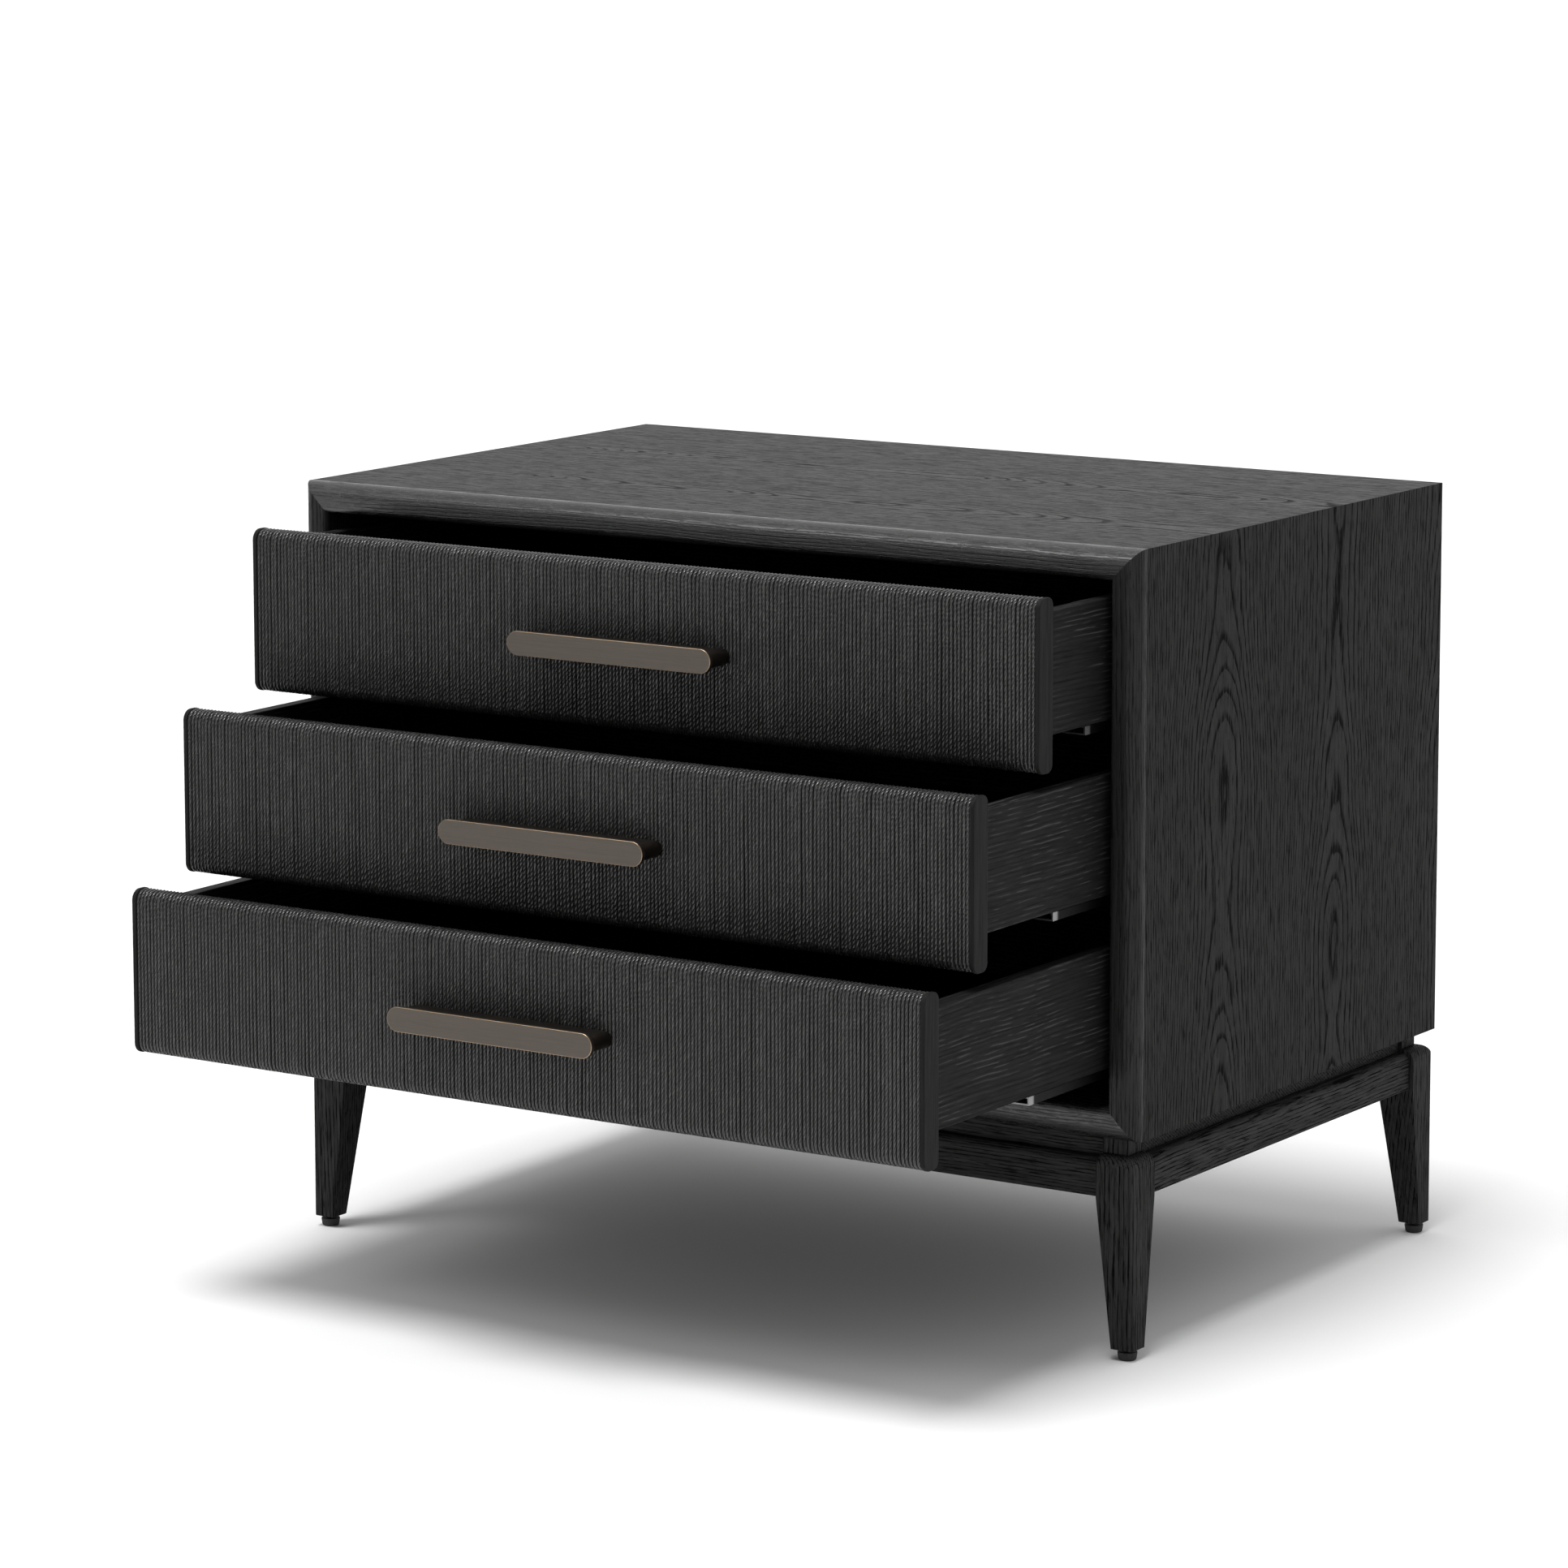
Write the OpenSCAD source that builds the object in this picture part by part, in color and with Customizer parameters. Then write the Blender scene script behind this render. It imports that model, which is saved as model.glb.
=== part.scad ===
// Nightstand with three drawers: a mitred oak case with a rounded front edge,
// raised on a frame with tapered legs. Each drawer front is wrapped in upright
// twisted cord and each drawer rides on a pair of full-extension runners.
// X is the width, -Y the front and Z is up. The drawers stand partly open at rest.

/* [Case] */
// Width over the case sides
case_w = 812; // [670:1:980]
// Depth from the nose of the front edge to the back
case_d = 508; // [420:1:612]
// Height of the case from its underside to its top
case_h = 467; // [386:1:566]
// Height of the case underside above the floor
case_z = 176; // [146:1:214]
// Thickness of the four case panels
panel_t = 25; // [20:1:30]
// Depth of the solid edging along the front of the panels
edge_d = 14; // [13:1:24]
// Radius of the edging on its outer corner
nose_outer_r = 12; // [8:1:13]
// Radius of the edging on its inner corner
nose_inner_r = 5; // [2:1:7]
// Thickness of the back panel
back_t = 6; // [4:1:12]
// Distance of the back panel from the rear edges
back_inset = 8; // [5:1:16]
// Depth of the groove that holds the back panel
back_groove = 8; // [5:1:12]

/* [Base frame] */
// Width of a leg at the apron
leg_top_w = 34; // [28:1:44]
// Width of a leg at its lower end
leg_foot_w = 19.5; // [17:0.5:26]
// Setback of the legs from the faces of the case
leg_inset = 1.5; // [0:0.5:8]
// Radius on the two outer top edges of a leg
leg_round = 10; // [4:1:14]
// Radius on the upright outer corner of a leg
leg_ease = 2.5; // [1:0.5:5]
// Height of an apron
apron_h = 31; // [24:1:40]
// Thickness of an apron
apron_t = 20; // [16:1:26]
// Setback of the aprons from the outer faces of the legs
apron_setback = 4; // [2:0.5:8]
// Radius on the outer top edge of an apron
apron_round = 7; // [3:1:12]
// Step down from the top of a leg to the top of an apron
apron_step = 3; // [1:0.5:6]
// Gap between the top of a leg and the case
shadow_gap = 13; // [10:0.5:20]
// Setback of the spacer blocks from the outer faces of the legs
block_inset = 11; // [8:0.5:14]
// Setback of the plinth rails from the faces of the spacer blocks
rail_setback = 4; // [2:0.5:6]
// Thickness of a plinth rail
rail_t = 12; // [8:1:18]

/* [Levelling feet] */
// Diameter of a foot pad
foot_d = 16; // [13:0.5:20]
// Height of a foot pad
pad_h = 7; // [5:0.5:9]
// Gap between a foot pad and the leg
foot_neck = 2; // [1:0.5:5]
// Diameter of the stem in the leg
stem_d = 6; // [5:0.5:8]
// Length of the stem in the leg
stem_l = 25; // [15:1:35]
// Clearance around the stem
stem_play = 0.1; // [0.05:0.05:0.3]

/* [Drawer fronts] */
// Reveal above, between and below the drawer fronts
reveal_z = 2.5; // [1.5:0.5:4]
// Reveal beside the drawer fronts
reveal_x = 2; // [1.5:0.5:4]
// Thickness of a drawer front over its cord
front_t = 21; // [18:0.5:26]
// Setback of a closed drawer front from the nose of the case edge
front_setback = 6; // [2:0.5:10]
// Radius on the face edges of a drawer front
front_round = 9; // [5:0.5:10]
// Radius on the back edges of a drawer front
back_round = 7; // [4:0.5:8]
// Thickness of the cord layer
cord_t = 3; // [2:0.5:3.5]
// Width of the cord turned over on the back of a front
cord_return = 22; // [16:1:26]
// Thickness of an end cap
cap_t = 4; // [3:0.5:8]

/* [Drawer boxes] */
// Gap between a drawer box and the case side
box_gap = 5; // [4:0.5:8]
// Thickness of the box walls
box_t = 12; // [10:0.5:15]
// Step down from the top of a front to the top of its box
box_drop = 12; // [8:1:20]
// Step up from the lower edge of a front to the lower edge of its box
box_rise = 28; // [26:1:34]
// Room between a closed drawer box and the back panel
box_room = 17; // [10:1:30]
// Thickness of the box bottom
bottom_t = 6; // [4:0.5:9]
// Height of the box bottom above the lower edge of the box
bottom_rise = 13; // [12:0.5:16]
// Depth of the groove that holds the box bottom
bottom_groove = 5; // [3:0.5:7]

/* [Pulls] */
// Length of a pull plate
pull_l = 196; // [163:1:236]
// Height of a pull plate
pull_h = 20; // [16:0.5:24]
// Thickness of a pull plate
plate_t = 4; // [3:0.5:6]
// Distance from the drawer front to the face of the plate
pull_reach = 30; // [25:0.5:36]
// Height of the bar behind the plate
bar_h = 13; // [11:0.5:15]
// Setback of the bar ends from the plate ends
bar_inset = 2; // [1:0.5:6]
// Spacing of the two pull screws
screw_pitch = 160; // [128:1:160]
// Diameter of a pull screw
screw_d = 4; // [3:0.5:5]
// Depth of the threaded hole in the bar
thread_l = 12; // [8:0.5:16]
// Clearance around a pull screw in the wood
screw_play = 0.4; // [0.2:0.05:0.5]
// Clearance of a screw in its threaded hole
thread_play = 0.05; // [0.02:0.01:0.1]
// Diameter of a screw head
head_d = 8; // [6:0.5:9]
// Height of a screw head
head_h = 2.5; // [1.5:0.5:3]

/* [Runners] */
// Thickness of the runner steel
steel_t = 1.2; // [1:0.1:1.5]
// Width of the fixed runner web
web_w = 31; // [30:0.5:34]
// Drop of the fixed runner web below the drawer box
web_drop = 9.5; // [9:0.25:12]
// Height of the fixed runner wall above the lower edge of the box
wall_rise = 20; // [14:1:30]
// Clearance between runner members
runner_play = 0.5; // [0.4:0.05:0.8]
// Width of the sliding runner
slider_w = 22; // [20:0.5:24]
// Share of the fixed runner that the sliding runner covers
slider_share = 0.85; // [0.7:0.01:0.9]
// Setback of the fixed runner behind a closed front
runner_setback = 3; // [1:0.5:8]
// Width of the flange under the box bottom
flange_w = 18; // [14:0.5:18]

/* [Drawers at rest] */
// How far the top drawer stands open
open_top = 108; // [0:1:300]
// How far the middle drawer stands open
open_middle = 202; // [0:1:300]
// How far the bottom drawer stands open
open_bottom = 271; // [0:1:300]

/* [Hidden] */
$fn = 64;

// Drawers are numbered from the top down
top = 0;
middle = 1;
bottom = 2;
drawers = 3;
opened = [open_top, open_middle, open_bottom];

oak = "#33302e";
box_oak = "#2b2928";
cord = "#3b3936";
bronze = "#8d7862";
dark_bronze = "#3f3730";
zinc = "#c3c6c9";
black = "#1b1b1c";
past = 1;              // overshoot of a cutter past the face that it cuts

// Case, measured from its nose and the floor
half_w = case_w / 2;
case_top_z = case_z + case_h;
inner_w = case_w - 2 * panel_t;
inner_h = case_h - 2 * panel_t;
back_y = case_d - back_inset - back_t;
groove_play = 1;       // room left for the back panel to swell

// Base frame
foot_h = pad_h + foot_neck;
leg_top_z = case_z - shadow_gap;
apron_top_z = leg_top_z - apron_step;
apron_z = apron_top_z - apron_h;
leg_x = half_w - leg_inset;
block_w = leg_top_w - block_inset;

// Drawer fronts and boxes, measured from the face of the front and the floor
front_w = inner_w - 2 * reveal_x;
front_h = (inner_h - (drawers + 1) * reveal_z) / drawers;
box_w = inner_w - 2 * box_gap;
box_h = front_h - box_drop - box_rise;
box_l = back_y - box_room - front_setback - front_t;
box_in_w = box_w - 2 * box_t;
function front_z(i) = case_z + panel_t + reveal_z + (drawers - 1 - i) * (front_h + reveal_z);
function box_z(i) = front_z(i) + box_rise;
function face_y(i) = front_setback - opened[i];

// Pulls
pull_face = -pull_reach;
bar_face = pull_face + plate_t;
function pull_z(i) = front_z(i) + front_h / 2;

// Runners
runner_y = front_setback + front_t + runner_setback;
runner_l = box_l;
slider_l = runner_l * slider_share;
slider_x = inner_w / 2 - web_w + steel_t + runner_play;
slider_low = steel_t - web_drop + runner_play;
slider_high = -2 * runner_play;
flange_x = box_in_w / 2 - runner_play - flange_w;
runner_travel_share = 0.5;   // a sliding runner moves half as far as its drawer

// The origin is on the floor, midway between the foremost pull and the case back
nose_y = -(case_d + face_y(bottom) - pull_reach) / 2;

module from_nose() {
    translate([0, nose_y, 0]) children();
}

// Moves a piece that is drawn from the face of a closed front to drawer i
module on_drawer(i) {
    from_nose() translate([0, face_y(i), 0]) children();
}

// Extrudes a profile drawn in X and Z from y0 to y1
module along_y(y0, y1) {
    translate([0, y1, 0]) rotate([90, 0, 0]) linear_extrude(height = y1 - y0) children();
}

// Extrudes a profile drawn in Y and Z from x0 to x1
module along_x(x0, x1) {
    translate([x0, 0, 0]) rotate([90, 0, 90]) linear_extrude(height = x1 - x0) children();
}

// Cutter that rounds the corner of a profile at the origin
module corner_cut(r) {
    difference() {
        translate([-past, -past]) square(r + past);
        translate([r, r]) circle(r);
    }
}

module both_sides() {
    children();
    mirror([1, 0, 0]) children();
}

// ---- Case ----

module top_outline() {
    polygon([[-half_w, case_top_z], [half_w, case_top_z],
        [inner_w / 2, case_top_z - panel_t], [-inner_w / 2, case_top_z - panel_t]]);
}

module bottom_outline() {
    polygon([[-half_w, case_z], [half_w, case_z],
        [inner_w / 2, case_z + panel_t], [-inner_w / 2, case_z + panel_t]]);
}

module left_outline() {
    polygon([[-half_w, case_z], [-half_w, case_top_z],
        [-inner_w / 2, case_top_z - panel_t], [-inner_w / 2, case_z + panel_t]]);
}

module back_blank(play) {
    grown = back_groove + play;
    translate([-inner_w / 2 - grown, back_y, case_z + panel_t - grown])
        cube([inner_w + 2 * grown, back_t, inner_h + 2 * grown]);
}

// One panel of the case, grooved for the back panel
module case_panel() {
    from_nose() difference() {
        along_y(edge_d, case_d) children();
        back_blank(groove_play);
    }
}

module case_top() {
    color(oak) case_panel() top_outline();
}

module case_bottom() {
    color(oak) case_panel() bottom_outline();
}

module case_left_side() {
    color(oak) case_panel() left_outline();
}

module case_right_side() {
    color(oak) case_panel() mirror([1, 0]) left_outline();
}

// Section of the front edging: x runs in from the outer face, y back from the nose
module edge_section() {
    difference() {
        square([panel_t, edge_d]);
        corner_cut(nose_outer_r);
        translate([panel_t, 0]) mirror([1, 0]) corner_cut(nose_inner_r);
    }
}

module edge_top() {
    color(oak) from_nose() intersection() {
        along_x(-half_w, half_w) translate([0, case_top_z]) rotate(-90) edge_section();
        along_y(0, edge_d) top_outline();
    }
}

module edge_bottom() {
    color(oak) from_nose() intersection() {
        along_x(-half_w, half_w)
            translate([0, case_z]) mirror([0, 1]) rotate(-90) edge_section();
        along_y(0, edge_d) bottom_outline();
    }
}

module edge_left() {
    color(oak) from_nose() intersection() {
        translate([-half_w, 0, case_z]) linear_extrude(height = case_h) edge_section();
        along_y(0, edge_d) left_outline();
    }
}

module edge_right() {
    mirror([1, 0, 0]) edge_left();
}

module back_panel() {
    color(oak) from_nose() back_blank(0);
}

// ---- Base frame ----

// Section of an apron: x runs in from its outer face, y up from its lower edge
module apron_section() {
    difference() {
        square([apron_t, apron_h]);
        translate([0, apron_h]) mirror([0, 1]) corner_cut(apron_round);
    }
}

module apron_front() {
    color(oak) from_nose() along_x(leg_top_w - leg_x, leg_x - leg_top_w)
        translate([leg_inset + apron_setback, apron_z]) apron_section();
}

module apron_back() {
    color(oak) from_nose() along_x(leg_top_w - leg_x, leg_x - leg_top_w)
        translate([case_d - leg_inset - apron_setback, apron_z]) mirror([1, 0])
            apron_section();
}

module apron_left() {
    color(oak) from_nose() along_y(leg_inset + leg_top_w, case_d - leg_inset - leg_top_w)
        translate([apron_setback - leg_x, apron_z]) apron_section();
}

module apron_right() {
    mirror([1, 0, 0]) apron_left();
}

// Side view of a leg: x runs in from the outer face
module leg_outline() {
    difference() {
        polygon([[0, foot_h], [leg_foot_w, foot_h], [leg_top_w, apron_z],
            [leg_top_w, leg_top_z], [0, leg_top_z]]);
        translate([0, leg_top_z]) mirror([0, 1]) corner_cut(leg_round);
    }
}

// A leg with its outer corner at the origin and its inner faces tapered
module leg() {
    color(oak) difference() {
        intersection() {
            along_y(0, leg_top_w) leg_outline();
            along_x(0, leg_top_w) leg_outline();
            linear_extrude(height = leg_top_z) difference() {
                square(leg_top_w);
                corner_cut(leg_ease);
            }
        }
        translate([leg_foot_w / 2, leg_foot_w / 2, foot_h - past])
            cylinder(d = stem_d + 2 * stem_play, h = stem_l + 2 * past);
    }
}

module leg_front_left() {
    from_nose() translate([-leg_x, leg_inset, 0]) leg();
}

module leg_front_right() {
    mirror([1, 0, 0]) leg_front_left();
}

module leg_back_left() {
    from_nose() translate([-leg_x, case_d - leg_inset, 0]) mirror([0, 1, 0]) leg();
}

module leg_back_right() {
    mirror([1, 0, 0]) leg_back_left();
}

// Repeats a piece that is drawn from a leg's outer corner at all four legs
module at_legs() {
    from_nose() both_sides() {
        translate([-leg_x, leg_inset, 0]) children();
        translate([-leg_x, case_d - leg_inset, 0]) mirror([0, 1, 0]) children();
    }
}

module spacer_blocks() {
    color(oak) at_legs() translate([block_inset, block_inset, leg_top_z])
        cube([block_w, block_w, shadow_gap]);
}

module plinth_rails() {
    face = block_inset + rail_setback;
    rail_h = case_z - apron_top_z;
    long = 2 * (leg_x - leg_top_w);
    short = case_d - 2 * (leg_inset + leg_top_w);
    color(oak) from_nose() {
        for (y = [leg_inset + face, case_d - leg_inset - face - rail_t])
            translate([-long / 2, y, apron_top_z]) cube([long, rail_t, rail_h]);
        both_sides() translate([face - leg_x, leg_inset + leg_top_w, apron_top_z])
            cube([rail_t, short, rail_h]);
    }
}

module levelling_feet() {
    pad_taper = 1;
    neck_d = stem_d + 2;
    color(black) at_legs() translate([leg_foot_w / 2, leg_foot_w / 2, 0]) {
        cylinder(d1 = foot_d - 2 * pad_taper, d2 = foot_d, h = pad_h);
        cylinder(d = neck_d, h = foot_h);
        cylinder(d = stem_d, h = foot_h + stem_l);
    }
}

// ---- Drawer fronts ----

// Section of a drawer front: x runs back from its face, y up from its lower edge
module front_section(inset) {
    deep = front_t - 2 * inset;
    high = front_h - 2 * inset;
    translate([inset, inset]) difference() {
        square([deep, high]);
        for (flip = [0, 1]) translate([0, flip * high]) mirror([0, flip]) {
            corner_cut(front_round - inset);
            translate([deep, 0]) mirror([1, 0]) corner_cut(back_round - inset);
        }
    }
}

// The part of the core that stands between the turned-over cord
module boss_section() {
    translate([front_t / 2, cord_return])
        square([front_t / 2, front_h - 2 * cord_return]);
}

// Cutter for the two pull screws, from the bar to the inside of the drawer
module screw_holes(i, d, y0, y1) {
    for (side = [-1, 1]) translate([side * screw_pitch / 2, y1, pull_z(i)])
        rotate([90, 0, 0]) cylinder(d = d, h = y1 - y0);
}

module front_core(i) {
    color(box_oak) on_drawer(i) difference() {
        along_x(cap_t - front_w / 2, front_w / 2 - cap_t) translate([0, front_z(i)]) {
            front_section(cord_t);
            boss_section();
        }
        screw_holes(i, screw_d + 2 * screw_play, 0, front_t + past);
    }
}

module cord_wrap(i) {
    color(cord) on_drawer(i) difference() {
        along_x(cap_t - front_w / 2, front_w / 2 - cap_t) translate([0, front_z(i)])
            difference() {
                front_section(0);
                front_section(cord_t);
                boss_section();
            }
        screw_holes(i, screw_d + 2 * screw_play, -past, front_t / 2);
    }
}

module end_caps(i) {
    color(oak) on_drawer(i) both_sides() along_x(front_w / 2 - cap_t, front_w / 2)
        translate([0, front_z(i)]) front_section(0);
}

// ---- Drawer boxes ----

// The bottom of a box, with room around it for its groove
module bottom_blank(i, play) {
    grown = bottom_groove + play;
    translate([-box_in_w / 2 - grown, front_t + box_t - grown, box_z(i) + bottom_rise])
        cube([box_in_w + 2 * grown, box_l - 2 * box_t + 2 * grown, bottom_t]);
}

module box_left(i) {
    color(box_oak) on_drawer(i) difference() {
        translate([-box_w / 2, front_t, box_z(i)]) cube([box_t, box_l, box_h]);
        bottom_blank(i, groove_play);
    }
}

module box_right(i) {
    mirror([1, 0, 0]) box_left(i);
}

module box_cross_wall(i, y) {
    translate([-box_in_w / 2, y, box_z(i)]) cube([box_in_w, box_t, box_h]);
}

module box_front(i) {
    color(box_oak) on_drawer(i) difference() {
        box_cross_wall(i, front_t);
        bottom_blank(i, groove_play);
        screw_holes(i, screw_d + 2 * screw_play, front_t - past, front_t + box_t + past);
    }
}

module box_back(i) {
    color(box_oak) on_drawer(i) difference() {
        box_cross_wall(i, front_t + box_l - box_t);
        bottom_blank(i, groove_play);
    }
}

module box_bottom(i) {
    color(box_oak) on_drawer(i) bottom_blank(i, 0);
}

// ---- Pulls ----

module stadium(l, h) {
    translate([-l / 2, -h / 2]) difference() {
        square([l, h]);
        for (flip = [0, 1]) translate([flip * l, 0]) mirror([flip, 0]) difference() {
            translate([-past, -past]) square([past + h / 2, h + 2 * past]);
            translate([h / 2, h / 2]) circle(d = h);
        }
    }
}

module pull_plate(i) {
    color(bronze) on_drawer(i) along_y(pull_face, bar_face) translate([0, pull_z(i)])
        stadium(pull_l, pull_h);
}

module pull_bar(i) {
    color(dark_bronze) on_drawer(i) difference() {
        along_y(bar_face, 0) translate([0, pull_z(i)])
            stadium(pull_l - 2 * bar_inset, bar_h);
        screw_holes(i, screw_d + 2 * thread_play, -thread_l, past);
    }
}

module pull_screws(i) {
    inside = front_t + box_t;
    color(zinc) on_drawer(i) {
        screw_holes(i, screw_d, past - thread_l, inside + past);
        screw_holes(i, head_d, inside, inside + head_h);
    }
}

// ---- Runners ----

module fixed_runner_section() {
    wall_x = inner_w / 2;
    translate([wall_x - steel_t, -web_drop]) square([steel_t, web_drop + wall_rise]);
    translate([wall_x - web_w, -web_drop]) square([web_w, steel_t]);
    translate([wall_x - web_w, -web_drop])
        square([steel_t, web_drop + slider_high]);
}

module fixed_runners() {
    color(zinc) from_nose() for (i = [top : bottom]) both_sides()
        along_y(runner_y, runner_y + runner_l) translate([0, box_z(i)])
            fixed_runner_section();
}

module sliding_runner_section() {
    high = slider_high - slider_low;
    lip = 5;
    translate([slider_x, slider_low]) difference() {
        square([slider_w, high]);
        translate([steel_t, steel_t]) square([slider_w - 2 * steel_t, high - 2 * steel_t]);
        translate([lip, high / 2]) square([slider_w - 2 * lip, high]);
    }
}

module sliding_runners(i) {
    start = runner_y - opened[i] * runner_travel_share;
    color(zinc) from_nose() both_sides() along_y(start, start + slider_l)
        translate([0, box_z(i)]) sliding_runner_section();
}

module drawer_runner_section() {
    stem_x = flange_x + flange_w / 2;
    translate([flange_x, bottom_rise - steel_t]) square([flange_w, steel_t]);
    translate([stem_x, 0]) square([steel_t, bottom_rise]);
    translate([stem_x, 0]) square([flange_w / 2, steel_t]);
}

module drawer_runners(i) {
    end_gap = 1;
    color(zinc) on_drawer(i) both_sides()
        along_y(front_t + box_t + end_gap, front_t + box_l - box_t - end_gap)
            translate([0, box_z(i)]) drawer_runner_section();
}

case_top();
case_bottom();
case_left_side();
case_right_side();
edge_top();
edge_bottom();
edge_left();
edge_right();
back_panel();
apron_front();
apron_back();
apron_left();
apron_right();
leg_front_left();
leg_front_right();
leg_back_left();
leg_back_right();
spacer_blocks();
plinth_rails();
levelling_feet();
fixed_runners();
front_core(top);  // top_front_core
cord_wrap(top);  // top_cord_wrap
end_caps(top);  // top_end_caps
box_front(top);  // top_box_front
box_back(top);  // top_box_back
box_left(top);  // top_box_left
box_right(top);  // top_box_right
box_bottom(top);  // top_box_bottom
pull_plate(top);  // top_pull_plate
pull_bar(top);  // top_pull_bar
pull_screws(top);  // top_pull_screws
drawer_runners(top);  // top_drawer_runners
sliding_runners(top);  // top_sliding_runners
front_core(middle);  // middle_front_core
cord_wrap(middle);  // middle_cord_wrap
end_caps(middle);  // middle_end_caps
box_front(middle);  // middle_box_front
box_back(middle);  // middle_box_back
box_left(middle);  // middle_box_left
box_right(middle);  // middle_box_right
box_bottom(middle);  // middle_box_bottom
pull_plate(middle);  // middle_pull_plate
pull_bar(middle);  // middle_pull_bar
pull_screws(middle);  // middle_pull_screws
drawer_runners(middle);  // middle_drawer_runners
sliding_runners(middle);  // middle_sliding_runners
front_core(bottom);  // bottom_front_core
cord_wrap(bottom);  // bottom_cord_wrap
end_caps(bottom);  // bottom_end_caps
box_front(bottom);  // bottom_box_front
box_back(bottom);  // bottom_box_back
box_left(bottom);  // bottom_box_left
box_right(bottom);  // bottom_box_right
box_bottom(bottom);  // bottom_box_bottom
pull_plate(bottom);  // bottom_pull_plate
pull_bar(bottom);  // bottom_pull_bar
pull_screws(bottom);  // bottom_pull_screws
drawer_runners(bottom);  // bottom_drawer_runners
sliding_runners(bottom);  // bottom_sliding_runners
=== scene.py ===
from math import radians, tau, pi
from random import Random

import bmesh
import bpy
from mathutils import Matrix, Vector, noise

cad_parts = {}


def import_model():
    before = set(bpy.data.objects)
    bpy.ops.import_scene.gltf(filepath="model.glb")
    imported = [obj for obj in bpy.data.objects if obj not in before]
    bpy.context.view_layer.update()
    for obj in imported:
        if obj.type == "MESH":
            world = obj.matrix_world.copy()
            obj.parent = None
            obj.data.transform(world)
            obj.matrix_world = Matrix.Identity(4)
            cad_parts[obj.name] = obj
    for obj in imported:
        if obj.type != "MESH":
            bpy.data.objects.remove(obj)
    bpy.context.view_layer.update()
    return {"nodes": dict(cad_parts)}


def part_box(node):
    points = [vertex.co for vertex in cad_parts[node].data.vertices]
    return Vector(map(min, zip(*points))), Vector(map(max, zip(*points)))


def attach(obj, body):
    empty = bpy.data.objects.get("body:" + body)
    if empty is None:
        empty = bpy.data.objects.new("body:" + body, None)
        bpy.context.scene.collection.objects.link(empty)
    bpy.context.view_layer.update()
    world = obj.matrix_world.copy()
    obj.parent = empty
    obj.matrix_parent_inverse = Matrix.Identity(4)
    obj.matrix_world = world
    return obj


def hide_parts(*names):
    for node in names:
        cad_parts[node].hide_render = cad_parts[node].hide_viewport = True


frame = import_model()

mm = 0.001
drawers = ("top", "middle", "bottom")
mergeDistance = 0.001 * mm


# a socket that takes part in plain arithmetic
class Wire:
    def __init__(self, tree, socket):
        self.tree = tree
        self.socket = socket

    def maths(self, operation, *values):
        return self.tree.node("ShaderNodeMath", {"operation": operation}, values)

    def __add__(self, other):
        return self.maths("ADD", self, other)

    def __radd__(self, other):
        return self.maths("ADD", other, self)

    def __sub__(self, other):
        return self.maths("SUBTRACT", self, other)

    def __rsub__(self, other):
        return self.maths("SUBTRACT", other, self)

    def __mul__(self, other):
        return self.maths("MULTIPLY", self, other)

    def __rmul__(self, other):
        return self.maths("MULTIPLY", other, self)

    def __truediv__(self, other):
        return self.maths("DIVIDE", self, other)

    def __rtruediv__(self, other):
        return self.maths("DIVIDE", other, self)

    def do(self, operation, *values):
        return self.maths(operation, self, *values)

    # 0 below low, 1 above high, smooth between
    def ramp(self, low, high):
        settings = {"interpolation_type": "SMOOTHSTEP"}
        sockets = {"Value": self, "From Min": low, "From Max": high}
        return self.tree.node("ShaderNodeMapRange", settings, sockets)


# a material's node tree, with one way to add any node
class Finish:
    def __init__(self, name):
        self.material = bpy.data.materials.new(name)
        self.material.use_nodes = True
        self.nodes = self.material.node_tree.nodes
        self.links = self.material.node_tree.links
        self.nodes.clear()

    def node(self, kind, settings=None, sockets=None, output=None):
        made = self.nodes.new(kind)
        for name, value in (settings or {}).items():
            setattr(made, name, value)
        named = sockets if isinstance(sockets, dict) else dict(enumerate(sockets or ()))
        for key, value in named.items():
            if isinstance(value, Wire):
                self.links.new(value.socket, made.inputs[key])
            else:
                made.inputs[key].default_value = value
        outputs = [socket for socket in made.outputs if socket.enabled]
        if not outputs:
            return None
        return Wire(self, made.outputs[output] if output else outputs[0])

    def place(self):
        return self.node("ShaderNodeTexCoord", output="Object")

    def axes(self, vector):
        split = self.node("ShaderNodeSeparateXYZ", sockets=(vector,)).socket.node
        return [Wire(self, split.outputs[axis]) for axis in "XYZ"]

    def vector(self, x, y, z):
        return self.node("ShaderNodeCombineXYZ", sockets=(x, y, z))

    def noise(self, vector, scale=1, detail=2, rough=0.5):
        sockets = {"Vector": vector, "Scale": scale, "Detail": detail,
                   "Roughness": rough}
        return self.node("ShaderNodeTexNoise", sockets=sockets)

    def blend(self, amount, first, second):
        def colour(c):
            return c if isinstance(c, Wire) else (*c, 1)
        return self.node("ShaderNodeMix", {"data_type": "RGBA"},
                         {0: amount, 6: colour(first), 7: colour(second)}, "Result")

    def bump(self, height, distance, strength):
        sockets = {"Height": height, "Distance": distance, "Strength": strength}
        return self.node("ShaderNodeBump", sockets=sockets)

    def finish(self, **sockets):
        named = {key.replace("_", " "): value for key, value in sockets.items()}
        shader = self.node("ShaderNodeBsdfPrincipled", sockets=named)
        self.node("ShaderNodeOutputMaterial", sockets={"Surface": shader})
        return self.material


def rgb(level, warm=0.0):
    return (level * (1 + warm), level, level * (1 - warm))


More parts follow.
